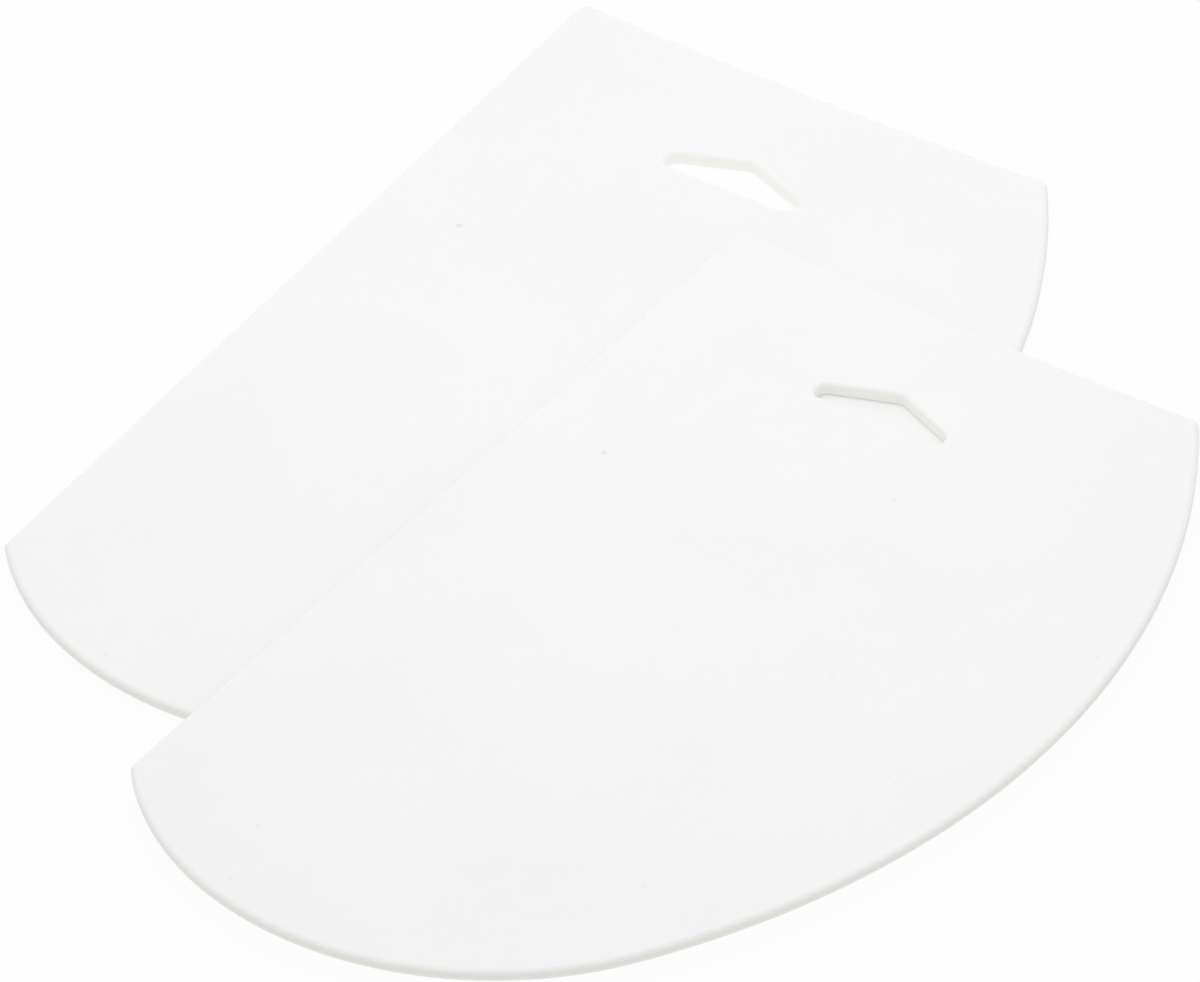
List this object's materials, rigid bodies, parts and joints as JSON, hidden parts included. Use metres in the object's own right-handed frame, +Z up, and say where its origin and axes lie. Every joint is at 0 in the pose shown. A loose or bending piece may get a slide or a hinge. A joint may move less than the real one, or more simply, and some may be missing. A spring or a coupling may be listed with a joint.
{
  "type": "bowl scraper pair",
  "caption": "Thin white plastic bowl scrapers, one lying on the other, each with a square corner, a long curved side and a hang hole.",
  "frame": {"origin": "middle of the pair's footprint, on the surface that the lower scraper lies on", "axes": "+X along the lower scraper's short side towards its curved side, +Y up its long side to the square corner, +Z up"},
  "size_m": [0.1334, 0.1844, 0.0039],
  "materials": {
    "white_plastic": "satin"
  },
  "bodies": {
    "rear_scraper": {"rear_scraper": "white_plastic"},
    "front_scraper": {"front_scraper": "white_plastic"}
  },
  "joints": [
    {"name": "front_lift", "type": "slide", "parent": "rear_scraper", "child": "front_scraper", "axis": [0, 0, 1], "range_m": [0, 0.06]}
  ]
}
